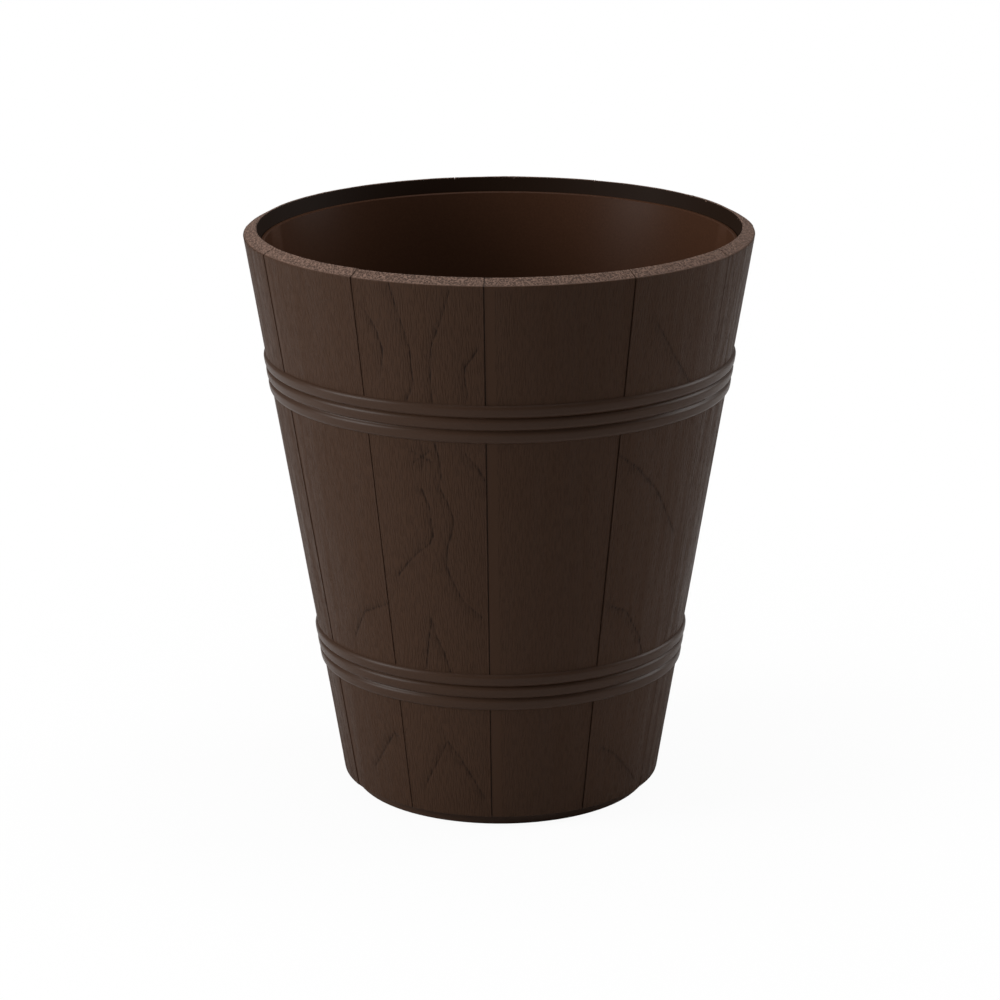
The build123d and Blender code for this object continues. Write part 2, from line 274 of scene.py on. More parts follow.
class PlanterSizes(bpy.types.PropertyGroup):
    """Sizes of the moulded relief and of the hoops."""

    joint_width: length("Joint width", "Width of the groove between two staves", 0.5)
    joint_depth: length("Joint depth", "Depth of the groove between two staves", 1.5)
    rim_joint_depth: length("Rim joint depth", "Depth of that groove over the rim", 1.0)
    edge_round: length("Edge round", "Radius of the staves' long edges", 0.4)
    pore_width: length("Pore width", "Width of the moulded pores across the grain", 1.0)
    pore_length: length("Pore length", "Length of the moulded pores along the grain", 7.0)
    pore_depth: length("Pore depth", "Depth of the moulded pores", 0.10)
    ring_depth: length("Ring depth", "Depth of the growth rings", 0.20)
    sink_size: length("Sink size", "Spacing of the shallow hollows of the faces", 40.0)
    sink_depth: length("Sink depth", "Depth of those hollows", 0.25)
    rim_grit: length("Rim grit", "Height of the sandy texture on the rim's slope", 0.10)
    hoop_width: length("Hoop width", "Width of a hoop along the wall", 23.4)
    hoop_proud: length("Hoop height", "How far a bead stands out of the wall", 1.9)
    hoop_gap_floor: length("Bead gap floor", "How far the floor between beads stands out", 0.0)
    hoop_root: length("Hoop root", "How deep a hoop reaches into the wall", 2.6)
    hoop_wobble: length("Hoop wobble", "Unevenness of the moulded beads", 0.16)
    hoop_beads: IntProperty(name="Beads", description="Beads on each hoop", default=3, min=1, max=8)


class PlanterColours(bpy.types.PropertyGroup):
    """Colours of the plastics and the rubber."""

    shell: colour("Shell", "Plastic of the staves and hoops", "#3b291e")
    grain: colour("Grain", "The same plastic down in the pores and rings", "#150d09")
    worn: colour("Rim", "Scuffed plastic of the rim's slope", "#7d6559")
    bore: colour("Bore", "The same plastic in the shade of the tub's bore", "#20140c")
    liner: colour("Liner", "Smooth plastic of the liner", "#3d271b")
    grid: colour("Grid", "Plastic of the drainage grid", "#191816")
    rubber: colour("Rubber", "Rubber of the drain plugs", "#121212")


class PlanterStage(bpy.types.PropertyGroup):
    """Light and floor."""

    left_power: power("Left softbox", "Power of the large soft light on the left", 44.0)
    right_power: power("Right softbox", "Power of the large soft light on the right", 21.0)
    top_power: power("Top softbox", "Power of the soft light above", 24.0)
    surround: share("Surround", "Level of the light that comes evenly from all round", 0.22)
    shadow_share: share("Shadow", "How much of the floor's look comes from its own lighting", 0.05)


def add(tree, kind, inputs=None, **settings):
    """Adds a node, sets its properties, and fills its inputs with values or links."""
    node = tree.nodes.new(kind)
    for name, value in settings.items():
        setattr(node, name, value)
    for key, value in (inputs or {}).items():
        if isinstance(value, bpy.types.NodeSocket):
            tree.links.new(value, node.inputs[key])
        else:
            node.inputs[key].default_value = value
    return node


def calculate(tree, operation, *values):
    """The output of a maths node on one, two or three values or sockets."""
    return add(tree, "ShaderNodeMath", dict(enumerate(values)), operation=operation).outputs[0]


def product(tree, first, *others):
    """The product of values or sockets."""
    for other in others:
        first = calculate(tree, "MULTIPLY", first, other)
    return first


def total(tree, first, *others):
    """The sum of values or sockets."""
    for other in others:
        first = calculate(tree, "ADD", first, other)
    return first


def less(tree, value, *others):
    """A value or socket less others."""
    for other in others:
        value = calculate(tree, "SUBTRACT", value, other)
    return value


def combined(tree, *parts):
    """A vector of three values or sockets."""
    return add(tree, "ShaderNodeCombineXYZ", dict(enumerate(parts))).outputs[0]


def noise(tree, vector, detail, seed=0.0, roughness=0.5):
    """The output of a noise texture on coordinates that are already scaled."""
    inputs = {"Vector": vector, "W": seed, "Scale": 1.0, "Detail": detail, "Roughness": roughness}
    return add(tree, "ShaderNodeTexNoise", inputs, noise_dimensions="4D").outputs[0]


def between(tree, value, low, high, out_low=0.0, out_high=1.0):
    """A value's place between two limits, clamped."""
    return add(tree, "ShaderNodeMapRange", {0: value, 1: low, 2: high, 3: out_low, 4: out_high}).outputs[0]


def scaled(tree, vector, scale):
    """Coordinates divided by the sizes that make them one unit long."""
    return add(tree, "ShaderNodeVectorMath", {0: vector, 1: scale}, operation="DIVIDE").outputs[0]


def grain_size(across, along):
    """The size of a pattern in grain coordinates, from its width and length in millimetres."""
    return (across * MM, along * MM, LAYER_SIZE)


def even_size(millimetres):
    """The size of a pattern that is the same all ways."""
    return (millimetres * MM,) * 3


def blend(tree, factor, first, second):
    """A mix of two colours."""
    return add(tree, "ShaderNodeMix", {0: factor, 6: first, 7: second}, data_type="RGBA").outputs[2]


def opaque(value):
    """A colour with full alpha."""
    return (*value, 1.0)


def new_material(name):
    """An empty material and its tree."""
    material = bpy.data.materials.new(name)
    material.use_nodes = True
    material.node_tree.nodes.clear()
    return material, material.node_tree


def finish_surface(tree, colour_value, roughness, height, bump_distance, specular):
    """Ends a material in one Principled surface with a bump."""
    bump = add(tree, "ShaderNodeBump", {"Strength": 1.0, "Distance": bump_distance, "Height": height})
    surface = add(
        tree,
        "ShaderNodeBsdfPrincipled",
        {
            "Base Color": colour_value,
            "Roughness": roughness,
            "IOR": PLASTIC_IOR,
            "Specular IOR Level": specular,
            "Normal": bump.outputs[0],
        },
    )
    add(tree, "ShaderNodeOutputMaterial", {0: surface.outputs[0]})


def grain_plastic():
    """Moulded wood-grain polypropylene: short dark pores along each stave, rings and a scuffed rim."""
    name = "moulded_wood_grain_polypropylene"
    if name in bpy.data.materials:
        return bpy.data.materials[name]
    colours = bpy.context.scene.planter_colours
    material, tree = new_material(name)
    grain = add(tree, "ShaderNodeAttribute", attribute_name="grain").outputs["Vector"]
    ring = add(tree, "ShaderNodeAttribute", attribute_name="ring").outputs["Fac"]
    rim = add(tree, "ShaderNodeAttribute", attribute_name="rim").outputs["Fac"]
    bare = add(tree, "ShaderNodeAttribute", attribute_name="bare").outputs["Fac"]
    place = add(tree, "ShaderNodeTexCoord").outputs["Object"]

    # Pores give fine streaks, denser in the rings, which they also break up
    pores = noise(tree, scaled(tree, grain, grain_size(*STREAK_SIZE)), 2.0)
    pores = between(tree, pores, 0.47, 0.60)
    broken = between(tree, pores, 0.0, 1.0, 0.30, 0.85)
    density = between(tree, ring, 0.0, 1.0, 0.5, 1.0)
    covered = less(tree, 1.0, calculate(tree, "MAXIMUM", rim, bare))
    pores = product(tree, pores, density, covered)
    # Broad bands along the grain make some streaks duller
    bands = noise(tree, scaled(tree, grain, grain_size(*BAND_SIZE)), 3.0)
    bands = between(tree, bands, 0.35, 0.65, -0.10, 0.10)
    # Speckle on the scuffed rim
    speckle = noise(tree, scaled(tree, place, even_size(GRIT_SIZE)), 2.0, 0.0, 0.6)
    speckle = product(tree, between(tree, speckle, 0.42, 0.58), rim)

    dark = opaque(colours.grain)
    tone = blend(tree, product(tree, pores, PORE_TONE), opaque(colours.shell), dark)
    tone = blend(tree, product(tree, ring, broken), tone, dark)
    tone = blend(tree, product(tree, rim, RIM_TONE), tone, opaque(colours.worn))
    tone = blend(tree, product(tree, speckle, SPECKLE_TONE), tone, dark)
    roughness = total(tree, GRAIN_ROUGHNESS, bands, product(tree, pores, PORE_ROUGHNESS))
    height = less(tree, product(tree, speckle, -1.0), pores)
    finish_surface(tree, tone, roughness, height, GRAIN_BUMP * MM, GRAIN_SPECULAR)
    return material


def smooth_plastic(name, base, roughness, grit_size, grit_height, specular):
    """A smooth moulded plastic or rubber: faint flow marks and a fine even grit, in millimetres."""
    if name in bpy.data.materials:
        return bpy.data.materials[name]
    material, tree = new_material(name)
    place = add(tree, "ShaderNodeTexCoord").outputs["Object"]
    grit = noise(tree, scaled(tree, place, even_size(grit_size)), 2.0)
    # Flow marks change the gloss a little
    flow = noise(tree, scaled(tree, place, tuple(size * MM for size in FLOW_SIZE)), 2.0)
    gloss = total(tree, between(tree, flow, 0.0, 1.0, -FLOW_GLOSS, FLOW_GLOSS), roughness)
    dark = tuple(GRIT_TONE * part for part in base)
    tone = blend(tree, between(tree, grit, 0.3, 0.7), opaque(base), opaque(dark))
    finish_surface(tree, tone, gloss, grit, grit_height * MM, specular)
    return material


def shell_plastic():
    """The shell's polypropylene where it has no grain: on the hoops, the foot and inside the wall."""
    base = bpy.context.scene.planter_colours.shell
    return smooth_plastic(
        "moulded_polypropylene", base, roughness=0.40, grit_size=0.6, grit_height=0.04, specular=0.12
    )


def link_object(name, mesh):
    """A new object at the origin."""
    piece = bpy.data.objects.new(name, mesh)
    bpy.context.scene.collection.objects.link(piece)
    return piece


def place_piece(piece, body, node):
    """Hangs a piece on the empty of the body that carries it and hides the CAD node that it stands for."""
    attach(piece, body)
    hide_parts(node)


def close_up(mesh, sharp=40.0):
    """Merges a mesh's loose faces, turns them outwards and shades it smooth, apart from its sharp edges."""
    work = bmesh.new()
    work.from_mesh(mesh)
    bmesh.ops.remove_doubles(work, verts=work.verts, dist=VERTEX_MERGE)
    bmesh.ops.recalc_face_normals(work, faces=work.faces)
    work.to_mesh(mesh)
    work.free()
    mesh.shade_smooth()
    mesh.set_sharp_from_angle(angle=math.radians(sharp))


def node_copy(node, name, move=None):
    """A smooth copy of a CAD node's mesh, whose vertices a function may move."""
    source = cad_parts[node].data
    points = np.empty(len(source.vertices) * 3)
    source.vertices.foreach_get("co", points)
    points = points.reshape(-1, 3)
    if move:
        points = move(points)
    mesh = bpy.data.meshes.new(name)
    mesh.from_pydata(points.tolist(), [], [tuple(face.vertices) for face in source.polygons])
    close_up(mesh)
    return link_object(name, mesh)


def node_group(name, sockets):
    """A Geometry Nodes group with named inputs, and its input node."""
    tree = bpy.data.node_groups.new(name, "GeometryNodeTree")
    tree.interface.new_socket(name="Geometry", in_out="OUTPUT", socket_type="NodeSocketGeometry")
    for label, kind in sockets.items():
        tree.interface.new_socket(name=label, in_out="INPUT", socket_type=kind)
    return tree, tree.nodes.new("NodeGroupInput").outputs


def end_group(tree, geometry, material):
    """Ends a group in Realize Instances and Set Material."""
    whole = add(tree, "GeometryNodeRealizeInstances", {0: geometry}).outputs[0]
    painted = add(tree, "GeometryNodeSetMaterial", {"Geometry": whole, "Material": material}).outputs[0]
    add(tree, "NodeGroupOutput", {0: painted})


def apply_group(piece, tree, values):
    """Runs a group on a piece with these inputs and leaves a plain mesh."""
    modifier = piece.modifiers.new("shape", "NODES")
    modifier.node_group = tree
    for item in tree.interface.items_tree:
        if item.item_type == "SOCKET" and item.in_out == "INPUT" and item.name in values:
            modifier[item.identifier] = values[item.name]
    piece.update_tag()
    graph = bpy.context.evaluated_depsgraph_get()
    graph.update()
    mesh = bpy.data.meshes.new_from_object(
        piece.evaluated_get(graph), preserve_all_data_layers=True, depsgraph=graph
    )
    piece.modifiers.clear()
    piece.data = mesh
    mesh.name = piece.name
    return mesh


def relief_group():
    """The wood grain's relief: pores, rings and hollows sunk into a stave's face, and grit on the rim."""
    name = "wood_relief"
    if name in bpy.data.node_groups:
        return bpy.data.node_groups[name]
    number = "NodeSocketFloat"
    tree, given = node_group(
        name,
        {
            "Geometry": "NodeSocketGeometry",
            "Pore Width": number,
            "Pore Length": number,
            "Pore Depth": number,
            "Ring Depth": number,
            "Sink Size": number,
            "Sink Depth": number,
            "Rim Grit": number,
            "Seed": number,
            "Material": "NodeSocketMaterial",
        },
    )
    grain = add(
        tree, "GeometryNodeInputNamedAttribute", {"Name": "grain"}, data_type="FLOAT_VECTOR"
    ).outputs[0]
    ring, rim, edge, bare = (
        add(tree, "GeometryNodeInputNamedAttribute", {"Name": label}, data_type="FLOAT").outputs[0]
        for label in ("ring", "rim", "edge", "bare")
    )
    pore_size = combined(tree, given["Pore Width"], given["Pore Length"], LAYER_SIZE)
    sink_length = product(tree, given["Sink Size"], SINK_STRETCH)
    sink_size = combined(tree, given["Sink Size"], sink_length, LAYER_SIZE)
    covered = less(tree, 1.0, calculate(tree, "MAXIMUM", rim, bare))
    pores = between(tree, noise(tree, scaled(tree, grain, pore_size), 2.0, given["Seed"]), 0.46, 0.70)
    density = between(tree, ring, 0.0, 1.0, 0.45, 1.0)
    pores = product(tree, pores, density, covered, given["Pore Depth"])
    rings = product(tree, ring, given["Ring Depth"])
    hollows = between(tree, noise(tree, scaled(tree, grain, sink_size), 1.0, given["Seed"]), 0.3, 0.7)
    hollows = product(tree, hollows, given["Sink Depth"])
    place = add(tree, "GeometryNodeInputPosition").outputs[0]
    grit = noise(tree, scaled(tree, place, even_size(GRIT_SIZE)), 1.0, given["Seed"])
    grit = product(tree, grit, rim, given["Rim Grit"])
    depth = total(tree, pores, rings, total(tree, hollows, grit))
    inwards = product(tree, depth, edge, -1.0)
    normal = add(tree, "GeometryNodeInputNormal").outputs[0]
    offset = add(tree, "ShaderNodeVectorMath", {0: normal, "Scale": inwards}, operation="SCALE").outputs[0]
    moved = add(tree, "GeometryNodeSetPosition", {"Geometry": given["Geometry"], "Offset": offset}).outputs[0]
    end_group(tree, moved, given["Material"])
    return tree


def rounded_path(corners, spacings):
    """Points along an outline of (radius, height, round), with the spacing asked for on each side."""
    points = []
    last = None
    for number, (*corner, round_radius) in enumerate(corners):
        corner = np.array(corner)
        if round_radius:
            before = np.array(corners[number - 1][:2]) - corner
            after = np.array(corners[number + 1][:2]) - corner
            before /= np.linalg.norm(before)
            after /= np.linalg.norm(after)
            half = math.acos(float(np.dot(before, after))) / 2
            back = round_radius / math.tan(half)
            centre_way = (before + after) / np.linalg.norm(before + after)
            centre = corner + centre_way * round_radius / math.sin(half)
            start = corner + before * back
            end = corner + after * back
            arc = []
            for step in range(ARC_STEPS + 1):
                mix = start + (end - start) * step / ARC_STEPS - centre
                arc.append(centre + mix / np.linalg.norm(mix) * round_radius)
        else:
            arc = [corner]
        if last is not None:
            run = np.linalg.norm(arc[0] - last)
            count = max(1, round(run / spacings[number - 1]))
            points += [last + (arc[0] - last) * step / count for step in range(1, count)]
        points += arc
        last = arc[-1]
    return np.array(points)


def across_columns(half_width, spacing, count):
    """Distances across a stave, closer together by its edges."""
    edges = np.array(EDGE_COLUMNS)
    inner = half_width - edges[-1]
    middle = np.linspace(-inner, inner, count)
    return np.concatenate([-half_width + edges[:-1], middle, half_width - edges[:-1][::-1]])


def line_ring(across, height, line):
    """How strongly one drawn ring shows at each point: a thin dark line, feathered on its left side."""
    best = np.full(across.shape, np.inf)
    side = np.zeros(across.shape)
    for (x0, z0), (x1, z1) in zip(line[:-1], line[1:]):
        run = (x1 - x0, z1 - z0)
        share_along = ((across - x0) * run[0] + (height - z0) * run[1]) / (run[0] ** 2 + run[1] ** 2)
        share_along = np.clip(share_along, 0, 1)
        off_x = across - x0 - share_along * run[0]
        off_z = height - z0 - share_along * run[1]
        distance = np.hypot(off_x, off_z)
        nearer = distance < best
        best = np.where(nearer, distance, best)
        side = np.where(nearer, off_x, side)
    core = np.exp(-((best / RING_HALF_WIDTH) ** 2))
    feather = FEATHER_SHARE * np.exp(-best / RING_FEATHER) * (side < 0)
    return np.maximum(core, feather)


def cathedral_rings(across, height, chance):
    """Nested arches of growth rings, as on a flat-sawn board."""
    heart = chance.uniform(-ARCH_HEART, ARCH_HEART)
    steep = chance.uniform(*ARCH_STEEPNESS)
    spacing = chance.uniform(*ARCH_SPACING)
    lean = chance.choice((-1, 1))
    sway = ARCH_SWAY * np.sin(height / chance.uniform(*ARCH_SWAY_LENGTH) + chance.uniform(0, 6))
    reach = steep * (across - heart - sway) ** 2
    phase = (lean * height + reach) / spacing + chance.uniform(0, 1)
    place = np.mod(phase, 1.0)
    return ARCH_STRENGTH * np.exp(-place / ARCH_FADE)


def stave_surface(number, sizes):
    """The points and attributes of a stave's front, row by row up the wall and over the rim."""
    rise = STAVE_RISES[number]
    column_step, row_step = FINE_SPACING if number in FACING_STAVES else COARSE_SPACING
    corners = [
        (BASE_RADIUS + rise - END_LAP, FOOT_HEIGHT - END_DROP, 0),
        (BASE_RADIUS + rise, FOOT_HEIGHT - END_DROP, END_ROUND),
        (RIM_RADIUS + rise, STAVE_TOP, RIM_ROUND),
        (bore_radius(LIP_HEIGHT) - BORE_PROUD, LIP_HEIGHT, LIP_ROUND),
        (bore_radius(LIP_HEIGHT - BORE_LAP) - BORE_PROUD, LIP_HEIGHT - BORE_LAP, 0),
    ]
    path = rounded_path(corners, (END_SPACING, row_step, RIM_SPACING, END_SPACING))
    tangent = np.gradient(path, axis=0)
    tangent /= np.linalg.norm(tangent, axis=1)[:, None]
    normal = np.stack([tangent[:, 1], -tangent[:, 0]], axis=1)
    along = np.concatenate([[0], np.cumsum(np.linalg.norm(np.diff(path, axis=0), axis=1))])

    joint = FIRST_JOINT + sum(STAVE_WIDTHS[:number])
    width = STAVE_WIDTHS[number]
    middle = math.radians(joint + width / 2)
    half_angle = math.radians(width / 2)
    count = round(2 * half_angle * RIM_RADIUS / column_step)
    half_groove = sizes.joint_width / MM / 2
    edge_round = sizes.edge_round / MM

    rows = []
    for (radius, height), (out_r, out_z), run in zip(path, normal, along):
        half_width = half_angle * radius - half_groove
        across = across_columns(half_width, column_step, count)
        from_edge = half_width - np.abs(across)
        inside = np.clip((edge_round - from_edge) / edge_round, 0, 1)
        drop = edge_round * (1 - np.sqrt(1 - inside**2))
        r = radius - drop * out_r
        z = height - drop * out_z
        angle = middle + across / radius
        x, y = r * np.sin(angle), -r * np.cos(angle)
        rows.append(np.stack([x, y, z, across, np.full_like(z, run), from_edge], axis=1))
    return np.array(rows), path, normal, middle, half_angle, half_groove


def stave_mesh(number, sizes):
    """A stave as a closed slab with its grain attributes."""
    front, path, normal, middle, half_angle, half_groove = stave_surface(number, sizes)
    row_count, column_count = front.shape[:2]
    back = []
    for (radius, height), (out_r, out_z) in zip(path, normal):
        half_width = half_angle * radius - half_groove
        angle = middle + np.linspace(-half_width, half_width, BACK_COLUMNS) / radius
        r = radius - SLAB_DEPTH * out_r
        z = max(height - SLAB_DEPTH * out_z, FOOT_HEIGHT + SLAB_CLEARANCE)
        back.append(np.stack([r * np.sin(angle), -r * np.cos(angle), np.full_like(angle, z)], axis=1))
    back = np.array(back)
    points = np.concatenate([front[:, :, :3].reshape(-1, 3), back.reshape(-1, 3)]) * MM

    first = np.arange(row_count * column_count).reshape(row_count, column_count)
    behind = first.size + np.arange(row_count * BACK_COLUMNS).reshape(row_count, BACK_COLUMNS)

    def quads(grid):
        corners = [grid[:-1, :-1], grid[:-1, 1:], grid[1:, 1:], grid[1:, :-1]]
        return np.stack(corners, axis=-1).reshape(-1, 4)

    left = np.stack([behind[:, 0], first[:, 0]], axis=1)
    right = np.stack([first[:, -1], behind[:, -1]], axis=1)
    faces = np.concatenate([quads(first), quads(behind[:, ::-1]), quads(left), quads(right)]).tolist()
    for row in (0, -1):
        faces.append(first[row].tolist() + behind[row][::-1].tolist())

    mesh = bpy.data.meshes.new(f"stave_{number + 1:02d}")
    mesh.from_pydata(points.tolist(), [], faces)
    across, run, from_edge = (front[:, :, column].ravel() for column in (3, 4, 5))
    height = front[:, :, 2].ravel()
    radius = np.hypot(front[:, :, 0], front[:, :, 1]).ravel()
    write_grain(mesh, number, across, run, height, from_edge, radius, len(points) - len(across))
    return mesh


def write_grain(mesh, number, across, run, height, from_edge, radius, hidden):
    """Writes what the relief and the material read: grain coordinates, rings, rim, edge and bare strips."""
    chance = random.Random(CHANCE_SEED + number)
    if number in DRAWN_RINGS:
        ring = np.max([line_ring(across, height, line) for line in DRAWN_RINGS[number]], axis=0)
    elif number in RINGLESS_STAVES:
        ring = np.zeros_like(across)
    else:
        ring = cathedral_rings(across, height, chance)
    rim = np.clip((height - STAVE_TOP - RIM_START) / RIM_FADE, 0, 1)
    strip = BARE_STRIPS.get(number, 0.0)
    from_left = np.where(across < 0, from_edge, np.inf)
    bare = (from_left < strip).astype(float)
    ring = ring * (1 - rim) * (1 - bare)
    on_wall = (radius > BASE_RADIUS - LAP_START) * (height > FOOT_HEIGHT + FOOT_START)
    edge = np.clip(from_edge / EDGE_FADE, 0, 1) * on_wall
    grain = np.stack([across * MM, run * MM, np.full_like(run, LAYER_STEP * number)], axis=1)
    grain = np.concatenate([grain, np.zeros((hidden, 3))])
    mesh.attributes.new("grain", "FLOAT_VECTOR", "POINT").data.foreach_set("vector", grain.ravel())
    for name, values in (("ring", ring), ("rim", rim), ("edge", edge), ("bare", bare)):
        values = np.concatenate([values, np.zeros(hidden)])
        mesh.attributes.new(name, "FLOAT", "POINT").data.foreach_set("value", values)


class PLANTER_OT_staves(bpy.types.Operator):
    """Builds the eleven staves with their moulded wood grain."""

    bl_idname = "planter.staves"
    bl_label = "Staves"

    def execute(self, context):
        sizes = context.scene.planter_sizes
        for number in range(len(STAVE_WIDTHS)):
            mesh = stave_mesh(number, sizes)
            close_up(mesh)
            piece = link_object(mesh.name, mesh)
            values = {
                "Pore Width": sizes.pore_width,
                "Pore Length": sizes.pore_length,
                "Pore Depth": sizes.pore_depth,
                "Ring Depth": sizes.ring_depth,
                "Sink Size": sizes.sink_size,
                "Sink Depth": sizes.sink_depth,
                "Rim Grit": sizes.rim_grit,
                "Seed": SEED_STEP * number,
                "Material": grain_plastic(),
            }
            relief = apply_group(piece, relief_group(), values)
            relief.shade_smooth()
            relief.set_sharp_from_angle(angle=math.radians(60))
            place_piece(piece, "tub", "stave_shell")
        return {"FINISHED"}


def core_points(sizes):
    """Moves the shell's outside in to the floor of the stave joints, so that the staves lie on it."""
    depth = sizes.joint_depth / MM
    rim_depth = sizes.rim_joint_depth / MM

    def move(points):
        points = points / MM
        radius = np.hypot(points[:, 0], points[:, 1])
        height = points[:, 2]
        wall = height > FOOT_HEIGHT - WALL_START
        limit = np.where(wall, stave_radius(height) - depth, radius)
        inner = np.minimum(radius, limit)
        scale = inner / np.maximum(radius, 1e-6)
        height = np.minimum(height, rim_height(inner) - rim_depth)
        return np.stack([points[:, 0] * scale, points[:, 1] * scale, height], axis=1) * MM

    return move


class PLANTER_OT_core(bpy.types.Operator):
    """Builds the rest of the shell: the bore, the floor, the foot ring and the floor of the joints."""

    bl_idname = "planter.core"
    bl_label = "Tub core"

    def execute(self, context):
        piece = node_copy("stave_shell", "tub_core", core_points(context.scene.planter_sizes))
        piece.data.materials.append(shell_plastic())
        # The bore above the liner lies in shade, and this darker finish keeps it as dark as it looks
        bore = context.scene.planter_colours.bore
        shaded = smooth_plastic(
            "shaded_polypropylene", bore, roughness=0.6, grit_size=0.6, grit_height=0.03, specular=0.05
        )
        piece.data.materials.append(shaded)
        for face in piece.data.polygons:
            height = face.center.z / MM
            inside = face.center.xy.length / MM < bore_radius(height) + BORE_MARGIN
            face.material_index = int(inside and height > FOOT_HEIGHT + FOOT_START)
        place_piece(piece, "tub", "stave_shell")
        return {"FINISHED"}


def hoop_group():
    """A hoop: a grid rolled into a ring, its other way bent into a closed section of rounded beads."""
    name = "beaded_hoop"
    if name in bpy.data.node_groups:
        return bpy.data.node_groups[name]
    number = "NodeSocketFloat"
    tree, given = node_group(
        name,
        {
            "Middle Radius": number,
            "Middle Height": number,
            "Slope": number,
            "Width": number,
            "Proud": number,
            "Gap Floor": number,
            "Root": number,
            "Wobble": number,
            "Beads": "NodeSocketInt",
            "Segments": "NodeSocketInt",
            "Steps": "NodeSocketInt",
            "Seed": number,
            "Material": "NodeSocketMaterial",
        },
    )
    grid = add(
        tree,
        "GeometryNodeMeshGrid",
        {"Size X": 1.0, "Size Y": 1.0, "Vertices X": given["Segments"], "Vertices Y": given["Steps"]},
    ).outputs[0]
    place = add(tree, "GeometryNodeInputPosition").outputs[0]
    split = add(tree, "ShaderNodeSeparateXYZ", {0: place}).outputs
    angle = product(tree, split[0], math.tau)

    # The last row lies on the first, which closes the section; the first and last of the others are the root
    spans = less(tree, given["Steps"], 1.0)
    step = calculate(tree, "ROUND", product(tree, total(tree, split[1], 0.5), spans))
    open_step = product(tree, step, calculate(tree, "LESS_THAN", step, less(tree, spans, 0.5)))
    last_open = less(tree, spans, 1.0)
    is_first = calculate(tree, "LESS_THAN", open_step, 0.5)
    is_last = calculate(tree, "GREATER_THAN", open_step, less(tree, last_open, 0.5))
    is_root = calculate(tree, "MAXIMUM", is_first, is_last)
    outer = calculate(tree, "DIVIDE", less(tree, open_step, 1.0), less(tree, last_open, 2.0))
    outer = add(tree, "ShaderNodeClamp", {0: outer}).outputs[0]

    # A bead's section is a flattened arch with steep shoulders
    bead_place = calculate(tree, "FRACT", product(tree, outer, given["Beads"]))
    from_middle = calculate(tree, "ABSOLUTE", less(tree, product(tree, bead_place, 2.0), 1.0))
    crown = less(tree, 1.0, calculate(tree, "POWER", from_middle, BEAD_POWER))
    extra = less(tree, given["Proud"], given["Gap Floor"])
    out = total(tree, given["Gap Floor"], product(tree, crown, extra))
    around = combined(
        tree,
        product(tree, calculate(tree, "SINE", angle), WAVES_AROUND),
        product(tree, calculate(tree, "COSINE", angle), WAVES_AROUND),
        product(tree, outer, WAVES_ACROSS),
    )
    out = less(tree, out, product(tree, noise(tree, around, 2.0, given["Seed"]), given["Wobble"]))
    chosen = product(tree, out, less(tree, 1.0, is_root))
    out = total(tree, chosen, product(tree, given["Root"], -1.0, is_root))
    along = product(tree, less(tree, outer, 0.5), given["Width"])

    sine = calculate(tree, "SINE", given["Slope"])
    cosine = calculate(tree, "COSINE", given["Slope"])
    radius = calculate(tree, "MULTIPLY_ADD", along, sine, given["Middle Radius"])
    radius = calculate(tree, "MULTIPLY_ADD", out, cosine, radius)
    height = calculate(tree, "MULTIPLY_ADD", along, cosine, given["Middle Height"])
    height = less(tree, height, product(tree, out, sine))
    x = product(tree, radius, calculate(tree, "SINE", angle))
    y = product(tree, radius, calculate(tree, "COSINE", angle), -1.0)
    bent = combined(tree, x, y, height)
    ring = add(tree, "GeometryNodeSetPosition", {"Geometry": grid, "Position": bent}).outputs[0]
    ring = add(tree, "GeometryNodeMergeByDistance", {"Geometry": ring, "Distance": ROW_MERGE}).outputs[0]
    end_group(tree, ring, given["Material"])
    return tree


class PLANTER_OT_hoops(bpy.types.Operator):
    """Builds the two beaded hoops."""

    bl_idname = "planter.hoops"
    bl_label = "Hoops"

    def execute(self, context):
        sizes = context.scene.planter_sizes
        for name, (middle, seed) in HOOPS.items():
            piece = link_object(name, bpy.data.meshes.new(name))
            values = {
                "Middle Radius": stave_radius(middle) * MM,
                "Middle Height": middle * MM,
                "Slope": math.atan(TAPER),
                "Width": sizes.hoop_width,
                "Proud": sizes.hoop_proud,
                "Gap Floor": sizes.hoop_gap_floor,
                "Root": sizes.hoop_root,
                "Wobble": sizes.hoop_wobble,
                "Beads": sizes.hoop_beads,
                "Segments": HOOP_SEGMENTS,
                "Steps": HOOP_STEPS,
                "Seed": seed,
                "Material": shell_plastic(),
            }
            close_up(apply_group(piece, hoop_group(), values), sharp=50.0)
            place_piece(piece, "tub", "stave_shell")
        return {"FINISHED"}


class PLANTER_OT_liner(bpy.types.Operator):
    """Builds the smooth liner that lifts out of the tub."""

    bl_idname = "planter.liner"
    bl_label = "Liner"

    def execute(self, context):
        piece = node_copy("inner_liner", "liner_pot")
        base = context.scene.planter_colours.liner
        # Smoother than the shell, so its wall shows a soft sheen
        satin = smooth_plastic(
            "satin_polypropylene", base, roughness=0.36, grit_size=1.2, grit_height=0.015, specular=0.035
        )
        piece.data.materials.append(satin)
        place_piece(piece, "liner", "inner_liner")
        return {"FINISHED"}


class PLANTER_OT_grid(bpy.types.Operator):
    """Builds the slotted drainage grid."""

    bl_idname = "planter.grid"
    bl_label = "Drainage grid"

    def execute(self, context):
        piece = node_copy("drainage_grid", "grid_plate")
        base = context.scene.planter_colours.grid
        # A fine even grit dulls this hidden moulding
        black = smooth_plastic(
            "black_polypropylene", base, roughness=0.5, grit_size=0.5, grit_height=0.03, specular=0.11
        )
        piece.data.materials.append(black)
        place_piece(piece, "grid", "drainage_grid")
        return {"FINISHED"}


